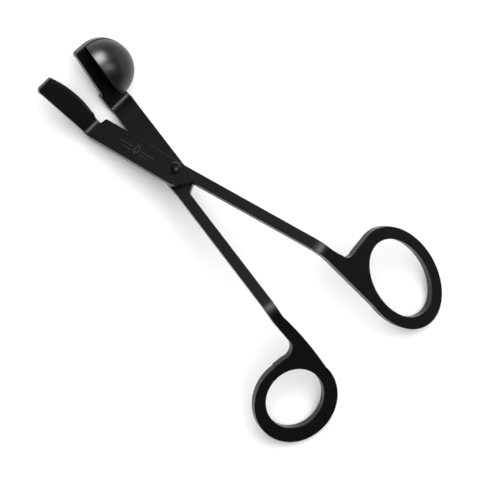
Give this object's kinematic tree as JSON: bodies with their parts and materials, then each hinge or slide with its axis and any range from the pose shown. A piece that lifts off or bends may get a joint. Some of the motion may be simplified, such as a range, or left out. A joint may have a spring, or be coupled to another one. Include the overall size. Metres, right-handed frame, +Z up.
{
  "type": "wick trimmer",
  "caption": "Black scissor-like trimmer for candle wicks: two bent steel halves on a rivet, finger loops, a curved blade and a tray with a half dome that catches the cut wick.",
  "frame": {"origin": "centre of the bounding box's bottom face, on the surface that the tool lies on", "axes": "+X from the heads to the rings, +Y across, from the thumb ring's side to the finger ring's, +Z up"},
  "size_m": [0.1724, 0.0952, 0.0322],
  "materials": {
    "coated_steel": "satin black powder coat on steel",
    "dome_coat": "satin black powder coat on pressed steel",
    "rivet_coat": "glossier black coat on a steel rivet",
    "spacer_steel": "bare spring steel shim"
  },
  "bodies": {
    "rear": {"rear_half": "coated_steel", "catch_dome": "dome_coat", "pivot_rivet": "rivet_coat", "tail_washer": "rivet_coat", "pivot_spacer": "spacer_steel"},
    "front": {"front_half": "coated_steel"}
  },
  "joints": [
    {"name": "pivot", "type": "hinge", "parent": "rear", "child": "front", "pos_m": [-0.02596, -0.00015, 0.01274], "axis": [-0.2588, 0, 0.9659], "range_deg": [-13, 30]}
  ]
}
